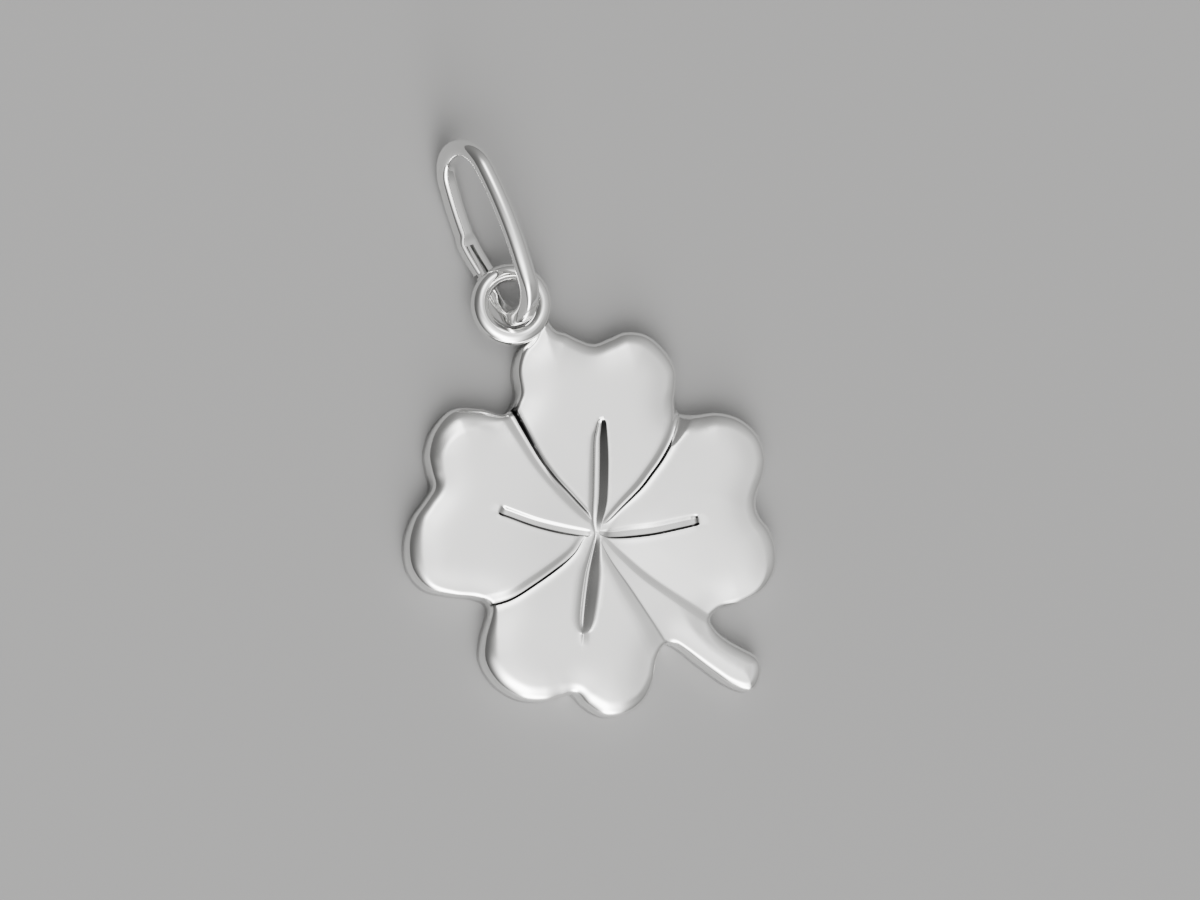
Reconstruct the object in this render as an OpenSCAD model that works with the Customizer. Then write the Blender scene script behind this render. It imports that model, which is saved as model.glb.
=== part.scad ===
/* [Leaves] */
// Reach of a leaf from the clover's centre, in mm
leaf_reach = 8; // [6:0.1:20]
// Height of the upright rim wall
rim_h = 1.0; // [0.6:0.05:2.5]
// Width of the rounding between rim wall and face
shoulder_w = 0.6; // [0.3:0.05:1.2]
// Rise of the rounding above the rim wall
shoulder_h = 0.42; // [0.2:0.02:0.8]
// Extra rise of the face towards the middle of each lobe
dome_h = 0.12; // [0:0.01:0.4]

/* [Valleys and veins] */
// Half width of the valley between two leaves
valley_w = 0.42; // [0.2:0.02:0.8]
// Depth of the valley between two leaves
valley_depth = 0.24; // [0.1:0.02:0.5]
// Half width of a leaf's cut vein
vein_w = 0.26; // [0.1:0.01:0.5]
// Depth of a leaf's cut vein
vein_depth = 0.26; // [0.1:0.02:0.5]
// Share of the leaf's reach at which a vein ends
vein_end = 0.61; // [0.3:0.02:0.8]

/* [Stem] */
// Reach of the stem's tip from the clover's centre, along the stem
stem_reach = 8.94; // [7.5:0.02:20]
// Width of the stem near its tip
stem_w = 1.56; // [0.8:0.02:3]
// Sideways distance of the stem's middle line from the clover's centre
stem_offset = 1.2; // [0.6:0.05:2]
// Direction of the stem, from the line to the right leaf
stem_turn = -53.6; // [-58:0.2:-50]
// Rise of the stem's back above the rim wall
stem_crown = 0.4; // [0.2:0.02:0.8]

/* [Eyelet] */
// Outer diameter of the eyelet
eyelet_d = 3.3; // [2.8:0.05:6]
// Wire diameter of the eyelet
eyelet_wire = 0.74; // [0.5:0.02:1.2]
// How far the eyelet is sunk into the top leaf's edge
eyelet_sink = 0.13; // [0.05:0.01:0.4]

/* [Bail ring] */
// Length of the oval bail, along the middle of its wire
bail_l = 7.15; // [6:0.05:14]
// Width of the oval bail, along the middle of its wire
bail_w = 3.2; // [2.6:0.05:6]
// Radius of the oval's two ends, along the middle of its wire
bail_end_r = 1.4; // [1:0.02:1.5]
// Wire diameter of the bail
bail_wire = 0.7; // [0.5:0.02:1]
// Lean of the bail from upright
bail_lean = 21; // [15:0.5:30]
// Turn of the bail about the upright, away from the eyelet's line
bail_turn = 0.75; // [-2:0.05:2]
// Height between the bail's lower strand and the eyelet's rim
rim_gap = 0.17; // [0.15:0.01:0.4]

/* [Catch] */
// Width of the catch's forked end
fork_w = 0.88; // [0.8:0.02:1.2]
// Thickness of the catch's forked end
fork_t = 0.48; // [0.4:0.02:0.6]
// Length of the catch's forked end
fork_l = 1.5; // [1:0.05:2]
// Width of the slot in the fork
slot_w = 0.36; // [0.25:0.01:0.5]
// Width of the fork's thin outer prong
prong_w = 0.15; // [0.1:0.01:0.3]
// Thickness of the tongue that lies in the slot
tongue_t = 0.12; // [0.08:0.01:0.2]
// Gap between the fork and the wire's other end
catch_gap = 0.12; // [0.05:0.01:0.3]

/* [Hidden] */
$fn = 48;
silver = [0.86, 0.86, 0.85];

// Each lobe is half a leaf. Its row holds the edge's reach, as shares of leaf_reach, at even steps
// from the lobe's first side to its second, clockwise from the valley at the left of the top leaf
LOBES = [
    [0.723, 0.745, 0.90, 0.99, 1.024, 1.031, 1.015, 0.974],
    [0.952, 0.982, 1.026, 1.042, 1.03, 0.995, 0.94, 0.83],
    [0.763, 0.80, 0.893, 0.956, 0.985, 0.987, 0.96, 0.90],
    [0.852, 0.887, 0.943, 0.955, 0.923, 0.843, 0.739, 0.671],
    [0.645, 0.648, 0.661, 0.716, 0.838, 0.908, 0.926, 0.892],
    [0.815, 0.854, 0.897, 0.919, 0.917, 0.896, 0.846, 0.741],
    [0.654, 0.691, 0.823, 0.931, 0.962, 0.957, 0.932, 0.883],
    [0.85, 0.894, 0.937, 0.957, 0.959, 0.943, 0.871, 0.771]];
// The sides between the lobes: direction at the edge, half way in and at the centre, and the kind
// of line that runs there
VEIN = 0;
VALLEY = 1;
STEM_BED = 2;
SIDES = [
    [104.6, 107.9, 101, VALLEY],
    [69.3, 65.3, 63, VEIN],
    [34.4, 25.8, 22.5, VALLEY],
    [-9.6, -15.5, -28, VEIN],
    [-64, -66, -68, STEM_BED],
    [-117.6, -118.2, -116, VEIN],
    [-165, -158.7, -158, VALLEY],
    [-215.4, -209.5, -203, VEIN]];
// Columns of each lobe, as steps along it, closer together at its two sides
COLUMNS = [0, 0.15, 0.35, 0.65, 1, 1.5, 2, 2.5, 3, 3.5, 4, 4.5, 5, 5.5, 6, 6.5, 7, 7.35, 7.65, 7.85];
// Rings of the face, as shares of the way from the centre to the rounding
RINGS = [0.05, 0.1, 0.16, 0.23, 0.31, 0.39, 0.47, 0.55, 0.63, 0.68, 0.76, 0.84, 0.92];
// Rings of the rounding, as shares of its width, from the face to the rim
ROUNDING = [1, 0.75, 0.5, 0.3, 0.15, 0.05, 0];
// The stem's sections, from the centre to the rounded tip: share of stem_reach, sideways share of
// stem_offset and share of stem_w
STEM = [
    [0.04, 0.08, 0.10],
    [0.15, 0.31, 0.38],
    [0.28, 0.54, 0.60],
    [0.39, 0.72, 0.86],
    [0.50, 0.88, 1.08],
    [0.58, 0.88, 1.10],
    [0.64, 0.86, 1.08],
    [0.69, 0.98, 0.98],
    [0.74, 1.04, 0.94],
    [0.80, 1.04, 0.95],
    [0.86, 1.01, 1.00],
    [0.91, 0.98, 1.00]];
// Points across the stem's back, as shares of half its width
BACK = [-1, -0.96, -0.86, -0.68, -0.4, 0, 0.4, 0.68, 0.86, 0.96, 1];
// Share of the stem's rounded tip at which a section is drawn
TIP = [0.25, 0.5, 0.7, 0.85, 0.95, 0.99];
// The dip in the face on both sides of the stem: depth, and angles to its outer edge and of its slope
bed_depth = 0.3;
bed_spread = 21;
bed_slope = 11;
// Share of the reach over which a vein's end comes up to the face
vein_fade = 0.05;
// Roundness of a groove's sides, of the stem's back and of its tip: 1 is straight, 2 a true ellipse
groove_round = 1.2;
back_round = 2.4;
tip_round = 2.6;
// Sideways bend of the stem's tip, as a share of stem_w
tip_bend = 0.12;
// Distance that the catch's fork reaches back past the middle of the bail
fork_back = 0.1;
// Share of the fork's length that is solid behind the slot
fork_solid = 0.2;
// Corner radius of the fork's section, as a share of fork_t
fork_corner = 0.3;
// Flat sides of the bail's wire, and steps of one of its ends, long sides and short pieces
wire_sides = 24;
end_steps = 20;
side_steps = 8;
piece_steps = 4;

steps = len(LOBES[0]);
lobes = len(LOBES);

// Reach of the edge at whole step k of the outline
function station(k) =
    leaf_reach * LOBES[(floor(k / steps) + lobes) % lobes][(k + steps * lobes) % steps];
function cubic(a, b, c, d, t) =
    b + (c - a) * t / 2 + (a - 2.5 * b + 2 * c - d / 2) * t * t
    + (1.5 * b - a / 2 - 1.5 * c + d / 2) * t * t * t;
function reach(k) = let(i = floor(k), t = k - i)
    cubic(station(i - 1), station(i), station(i + 1), station(i + 2), t);
function side(i, col) = SIDES[(i + lobes) % lobes][col];
// Direction of side line i at share f of the reach
function side_turn(i, f) = let(e = side(i, 0), m = side(i, 1), c = side(i, 2))
    c + (4 * m - e - 3 * c) * f + (2 * e + 2 * c - 4 * m) * f * f - 360 * floor(i / lobes);
function turn_at(k, f) = let(i = floor(k / steps), u = k / steps - i)
    side_turn(i, f) * (1 - u) + side_turn(i + 1, f) * u;
// Share of a radial distance that is square to the edge
function squareness(k) = let(e = 0.05)
    cos(atan2(reach(k + e) - reach(k - e),
        reach(k) * abs(turn_at(k + e, 1) - turn_at(k - e, 1)) * PI / 180));
function within(t) = min(1, max(0, t));
function rounded(t) = sqrt(max(0, 1 - pow(1 - within(t), 2)));
function ease(t) = let(c = within(t)) c * c * (3 - 2 * c);
function groove(d, w) = pow(max(0, 1 - d / w), groove_round);
// Depth below the face of side line i, at direction a, radius r and share f of the reach
function cut(i, a, r, f) = let(gap = abs(a - side_turn(i, f)), d = r * sin(min(90, gap)))
    side(i, 3) == VEIN ? vein_depth * groove(d, vein_w) * ease((vein_end - f) / vein_fade)
    : side(i, 3) == VALLEY ? valley_depth * groove(d, valley_w)
    : bed_depth * ease((bed_spread - gap) / bed_slope) * ease(f * 4);
function face_z(k, f) =
    let(i = floor(k / steps), r = f * reach(k), a = turn_at(k, f),
        d = (1 - f) * reach(k) * squareness(k), middle = sin(180 * (k / steps - i)))
    rim_h + shoulder_h * rounded(d / shoulder_w)
    + dome_h * ease(3 * d / leaf_reach) * (1 + middle) / 2 * ease(f * 2.5)
    - max(cut(i, a, r, f), cut(i + 1, a, r, f)) * ease(0.4 + d / shoulder_w);
function polar(r, a, z) = [r * cos(a), r * sin(a), z];

columns = [for (i = [0 : lobes - 1], c = COLUMNS) i * steps + c];
function shares(k) = let(w = shoulder_w / reach(k))
    concat([for (g = RINGS) g * (1 - w)], [for (g = ROUNDING) 1 - g * w]);
rings = len(RINGS) + len(ROUNDING);

// Columns of points from the centre out to the rim and down to the foot
module leaves() {
    n = len(columns);
    face = [for (k = columns, f = shares(k)) polar(f * reach(k), turn_at(k, f), face_z(k, f))];
    foot = [for (k = columns) polar(reach(k), turn_at(k, 1), 0)];
    low = n * rings;
    mid = low + n;
    faces = [for (j = [0 : n - 1]) let(a = j * rings, b = (j + 1) % n * rings, e = rings - 1) each concat(
        [[mid, a, b]],
        [for (i = [0 : e - 1]) each [[a + i, a + i + 1, b + i + 1], [a + i, b + i + 1, b + i]]],
        [[a + e, low + j, low + (j + 1) % n],
         [a + e, low + (j + 1) % n, b + e],
         [mid + 1, low + (j + 1) % n, low + j]])];
    polyhedron(concat(face, foot, [[0, 0, rim_h + shoulder_h - vein_depth], [0, 0, 0]]), faces);
}

stem_root = [for (s = STEM) [s[0] * stem_reach, -s[1] * stem_offset, s[2] * stem_w / 2]];
tip_from = stem_root[len(STEM) - 1];
// Half width left at share t of the rounded tip
function tip_width(t) = tip_from[2] * pow(1 - pow(t, tip_round), 1 / tip_round);
stem_rows = concat(stem_root, [for (t = TIP)
    [tip_from[0] + t * (stem_reach - tip_from[0]), tip_from[1] - tip_bend * stem_w * t, tip_width(t)]]);
function back_rise(row) =
    stem_crown * ease(0.5 + row[0] / stem_reach) * pow(min(1, 2 * row[2] / stem_w), 0.4);

// Share of the back's rise at share b of half the stem's width
function across(b) = pow(1 - pow(abs(b), back_round), 1 / back_round);

// A strip of sections along the stem, with a flat foot and a domed back
module stem() {
    m = len(BACK);
    n = len(stem_rows);
    back = [for (row = stem_rows, b = BACK)
        [row[0], row[1] + b * row[2], rim_h + back_rise(row) * across(b)]];
    foot = [for (row = stem_rows, b = [-1, 1]) [row[0], row[1] + b * row[2], 0]];
    low = n * m;
    last = low - m;
    end = low + 2 * n - 2;
    faces = concat(
        [for (i = [0 : n - 2], q = [0 : m - 2]) let(a = i * m + q) each
            [[a, a + 1, a + m], [a + 1, a + m + 1, a + m]]],
        [for (i = [0 : n - 2]) let(a = i * m, z = a + m - 1, f = low + 2 * i) each
            [[a, a + m, f], [a + m, f + 2, f], [z, f + 1, z + m], [z + m, f + 1, f + 3],
             [f, f + 2, f + 1], [f + 1, f + 2, f + 3]]],
        [for (q = [1 : m - 1]) [low, q, q - 1]],
        [[low, low + 1, m - 1]],
        [for (q = [1 : m - 1]) [end, last + q - 1, last + q]],
        [[end, last + m - 1, end + 1]]);
    rotate([0, 0, stem_turn]) polyhedron(concat(back, foot), faces);
}

eyelet_r = (eyelet_d - eyelet_wire) / 2;
// The eyelet is bedded in the edge at the tallest part of the top leaf's left lobe
eyelet_y = leaf_reach * LOBES[0][4] - eyelet_sink + eyelet_d / 2;
eyelet_z = bail_wire + rim_gap + eyelet_wire / 2;

module eyelet() {
    translate([0, eyelet_y, eyelet_z]) rotate_extrude() translate([eyelet_r, 0]) circle(d = eyelet_wire);
}

// Solder that runs from the eyelet's right side down to the leaf's edge
module solder() {
    d = eyelet_wire * 0.9;
    hull() {
        for (a = [-88, -70, -52]) translate([eyelet_r * cos(a), eyelet_y + eyelet_r * sin(a), eyelet_z])
            sphere(d = d, $fn = 16);
        for (a = [80, 87]) translate(polar(leaf_reach * 0.96, a, rim_h)) sphere(d = d, $fn = 16);
    }
}

module clover() {
    color(silver) union() {
        leaves();
        stem();
        eyelet();
        solder();
    }
}

half_l = bail_l / 2;
half_w = bail_w / 2;
end_at = half_l - bail_end_r;
side_r = (end_at * end_at + half_w * half_w - bail_end_r * bail_end_r) / 2 / (half_w - bail_end_r);
side_angle = atan2(end_at, side_r - half_w);
near_y = eyelet_y - eyelet_d / 2 + eyelet_wire + bail_wire / 2;

// Angle along the lower strand, from its middle, at distance y towards the eyelet
function along(y) = 180 + asin(y / side_r);
fork_end = along(fork_l - fork_back);
fork_root = along(-fork_back);
slot_root = along(fork_solid * fork_l - fork_back);
tail_end = along(fork_l - fork_back + catch_gap);
// Places along an arc, as centre, radius and angle
function places(x, y, r, from, to, n) =
    [for (i = [0 : n]) [x, y, r, from + (to - from) * i / n]];
side_x = side_r - half_w;

// Sweeps a closed section, given as distances outwards and upwards, through places in a row
module strand(section, at) {
    m = len(section);
    n = len(at);
    points = [for (p = at, s = section)
        [p[0] + (p[2] + s[0]) * cos(p[3]), p[1] + (p[2] + s[0]) * sin(p[3]), s[1]]];
    faces = concat(
        [for (i = [0 : n - 2], q = [0 : m - 1]) let(a = i * m + q, b = i * m + (q + 1) % m) each
            [[a, b, a + m], [a + m, b, b + m]]],
        [[for (q = [1 : m]) m - q], [for (q = [0 : m - 1]) (n - 1) * m + q]]);
    polyhedron(points, faces, convexity = 4);
}

// The wire, from its plain end at the catch round the oval to the fork
module wire() {
    section = [for (q = [0 : wire_sides - 1]) let(a = 360 * q / wire_sides)
        bail_wire / 2 * [cos(a), sin(a)]];
    rows = concat(
        places(side_x, 0, side_r, tail_end, 180 + side_angle, piece_steps),
        places(0, -end_at, bail_end_r, 180 + side_angle, 360 - side_angle, end_steps),
        places(-side_x, 0, side_r, -side_angle, side_angle, side_steps),
        places(0, end_at, bail_end_r, side_angle, 180 - side_angle, end_steps),
        places(side_x, 0, side_r, 180 - side_angle, fork_root, piece_steps));
    // Arcs meet end to start, so each joint is given once
    ends = [piece_steps, piece_steps + end_steps + 1, piece_steps + end_steps + side_steps + 2,
        piece_steps + 2 * end_steps + side_steps + 3];
    strand(section, [for (i = [0 : len(rows) - 1]) if (len(search(i, ends)) == 0) rows[i]]);
}

// A block along the lower strand, on the slot's middle line
module slot_block(from, to, thick, wide) {
    l = side_r * (to - from) * PI / 180;
    translate([side_x, 0, fork_w / 2 - prong_w - slot_w / 2]) rotate([0, 0, (from + to) / 2])
        translate([side_r, 0, 0]) cube([thick, l, wide], center = true);
}

module catch() {
    c = fork_t * fork_corner;
    section = [for (q = [[1, 1, 0], [-1, 1, 90], [-1, -1, 180], [1, -1, 270]], e = [0, 30, 60, 90])
        [q[0] * (fork_t / 2 - c) + c * cos(q[2] + e), q[1] * (fork_w / 2 - c) + c * sin(q[2] + e)]];
    difference() {
        strand(section, places(side_x, 0, side_r, fork_root - 1, fork_end, piece_steps));
        slot_block(slot_root, fork_end + 1, 2 * fork_t, slot_w);
    }
    slot_block(slot_root - 0.5, tail_end + 0.5, fork_t * 0.7, tongue_t);
}

module bail_ring() {
    color(silver) translate([0, near_y, bail_wire / 2 + half_w * cos(bail_lean)])
        rotate([0, 0, bail_turn]) translate([0, half_l, 0]) rotate([0, bail_lean - 90, 0]) union() {
            wire();
            catch();
        }
}

clover();
bail_ring();
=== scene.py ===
"""Four leaf clover pendant: the cast clover with its eyelet, and the oval bail."""

import logging
import math
from dataclasses import dataclass
from enum import Enum
from functools import cache, cached_property

import bpy
import numpy as np
from mathutils import Matrix, Vector
from mathutils.geometry import delaunay_2d_cdt


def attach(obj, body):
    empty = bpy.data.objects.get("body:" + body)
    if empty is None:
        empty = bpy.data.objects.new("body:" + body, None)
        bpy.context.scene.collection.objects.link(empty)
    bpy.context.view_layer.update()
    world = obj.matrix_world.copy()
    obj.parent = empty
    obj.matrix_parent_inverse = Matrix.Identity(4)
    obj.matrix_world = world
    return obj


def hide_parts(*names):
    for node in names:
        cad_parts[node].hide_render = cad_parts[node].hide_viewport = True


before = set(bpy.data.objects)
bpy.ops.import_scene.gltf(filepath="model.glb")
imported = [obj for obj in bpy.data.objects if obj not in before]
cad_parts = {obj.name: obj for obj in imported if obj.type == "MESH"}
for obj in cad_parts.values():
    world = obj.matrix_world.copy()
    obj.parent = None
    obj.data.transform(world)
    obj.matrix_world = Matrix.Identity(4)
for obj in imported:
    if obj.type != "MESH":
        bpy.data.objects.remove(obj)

MM = 0.001
LEAF_REACH = 8.0
# Points worked out for each span of a smooth line, and of a groove's section.
LINE_SAMPLES = 24
SECTION_SAMPLES = 8
# The attribute that holds the painted shade that darkens the silver in the grooves, from 0 to 1.
PAINTED_SHADE = "painted_shade"
# The triangulation keeps what is inside its border, and joins points nearer than this, in mm.
KEEP_INSIDE = 1
MERGE = 1e-5
# Lengths in metres: what counts as lying on the floor, and what is welded.
ON_FLOOR = 1e-6
WELD = 1e-7
# The least square of a line's span, so that no division is by 0.
TINY = 1e-12
log = logging.getLogger("pendant")
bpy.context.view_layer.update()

Pair = tuple[float, float]
Triple = tuple[float, float, float]
Feed = float | bpy.types.NodeSocket
Row = tuple[float, float, float, float, float]

# Leaf edges, clockwise from the top leaf: direction in degrees, share of the leaf's reach, and share of
# the shoulder's full width that the rounding has there.
TOP_LEAF: tuple[Triple, ...] = (
    (103.8, .745, .4), (100.8, .767, .35), (98.3, .80, .35), (95.6, .905, .35), (91.8, .985, .45),
    (88.0, 1.016, .4), (85.8, 1.059, .4), (83.8, 1.100, .6), (82.2, 1.100, .8), (81.4, 1.068, .8),
    (80.1, 1.030, .8), (77.5, 1.012, .9), (73.8, .975, 1), (69.3, .952, 1), (64.6, .985, 1),
    (60.0, 1.030, 1), (54.0, 1.040, 1), (47.5, .995, .9), (42.2, .930, .8), (39.2, .845, .8),
    (37.0, .785, 1))
RIGHT_LEAF: tuple[Triple, ...] = (
    (33.4, .763, 1.2), (28.4, .806, 1.4), (23.5, .892, 1.2), (17.6, .958, 1), (10.5, .990, .8),
    (3.6, .975, .8), (-1.6, .930, .8), (-5.8, .880, .8), (-9.6, .852, .8), (-14.0, .862, .9),
    (-18.5, .910, 1), (-24.5, .948, 1), (-31.5, .952, .8), (-38.3, .910, .45), (-44.5, .830, .35),
    (-49.5, .750, .3))
BOTTOM_LEAF: tuple[Triple, ...] = (
    (-80.0, .672, .35), (-84.4, .72, .5), (-88.5, .80, .6), (-93.8, .878, .8), (-100.5, .922, 1),
    (-107.5, .918, 1), (-113.4, .866, .9), (-117.6, .815, .7), (-121.8, .84, .9), (-127.5, .886, 1),
    (-135.0, .918, 1), (-143.5, .912, 1), (-151.4, .866, 1), (-157.0, .782, .9))
LEFT_LEAF: tuple[Triple, ...] = (
    (-164.8, .655, .35), (-171.2, .69, .3), (-176.5, .798, .3), (-181.5, .905, .5), (-188.5, .958, .9),
    (-196.5, .957, 1), (-204.0, .925, .8), (-209.8, .878, .7), (-215.4, .850, .8), (-219.8, .888, .9),
    (-225.0, .935, 1.1), (-232.5, .960, 1.3), (-240.5, .942, 1.35), (-246.6, .850, 1.2),
    (-251.7, .752, .6))
# The stem's edge: x and y in mm and the rounding's share, from the notch at the right leaf round the tip
# to the notch at the bottom leaf.
STEM_EDGE: tuple[Triple, ...] = (
    (3.32, -4.85, .4), (3.33, -5.20, .6), (3.50, -5.57, .8), (3.84, -6.03, .9), (4.22, -6.44, .9),
    (4.53, -6.78, .9), (4.65, -7.07, .7), (4.61, -7.41, .6), (4.42, -7.77, .6), (4.13, -8.05, .6),
    (3.86, -8.13, .6), (3.62, -8.02, .55), (3.38, -7.84, .5), (3.02, -7.47, .45), (2.70, -7.02, .42),
    (2.40, -6.58, .4), (2.10, -6.11, .36), (1.83, -5.67, .3), (1.50, -5.26, .3), (1.22, -5.19, .3))


class LineKind(Enum):
    """What a line in the face is."""

    VALLEY = "a crease between two leaves"
    VEIN = "a leaf's cut midrib"
    FOLD = "a soft hollow beside the stem"
    SLOPE = "a flatter stretch of a leaf's shoulder"


@dataclass(frozen=True)
class Groove:
    """A line in the face with its cross section.

    The section's pairs are the distance to the line's left and the drop, both in mm. A drop under 0 is a
    lip. The rows run along the line, mostly from the centre outwards: x, y, share of the section's width,
    share of its drop and darkness of its bands of painted shade. Each band has the two distances that it
    lies between and its share of that painted darkness.
    """

    name: str
    kind: LineKind
    section: tuple[Pair, ...]
    # Bands of painted shade, which darken the silver along the groove.
    shade_bands: tuple[Triple, ...]
    rows: tuple[Row, ...]


# Painted shade for the dark line between the top and left leaves, which fades towards the top leaf.
TOP_LEFT_SHADE: tuple[Triple, ...] = (
    (.05, -.07, 1), (-.07, -.12, .92), (-.12, -.17, .72), (-.17, -.22, .4))
# The right vein's upper wall, floor and lower wall, without its lip.
RIGHT_VEIN: tuple[Pair, ...] = (
    (.36, 0), (.30, .008), (.23, .044), (.17, .082), (.13, .091), (.06, .092), (-.06, .094),
    (-.10, .093), (-.13, .082), (-.19, .004))

# Each groove's bands and the last column of its rows lay painted shade along it.
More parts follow.
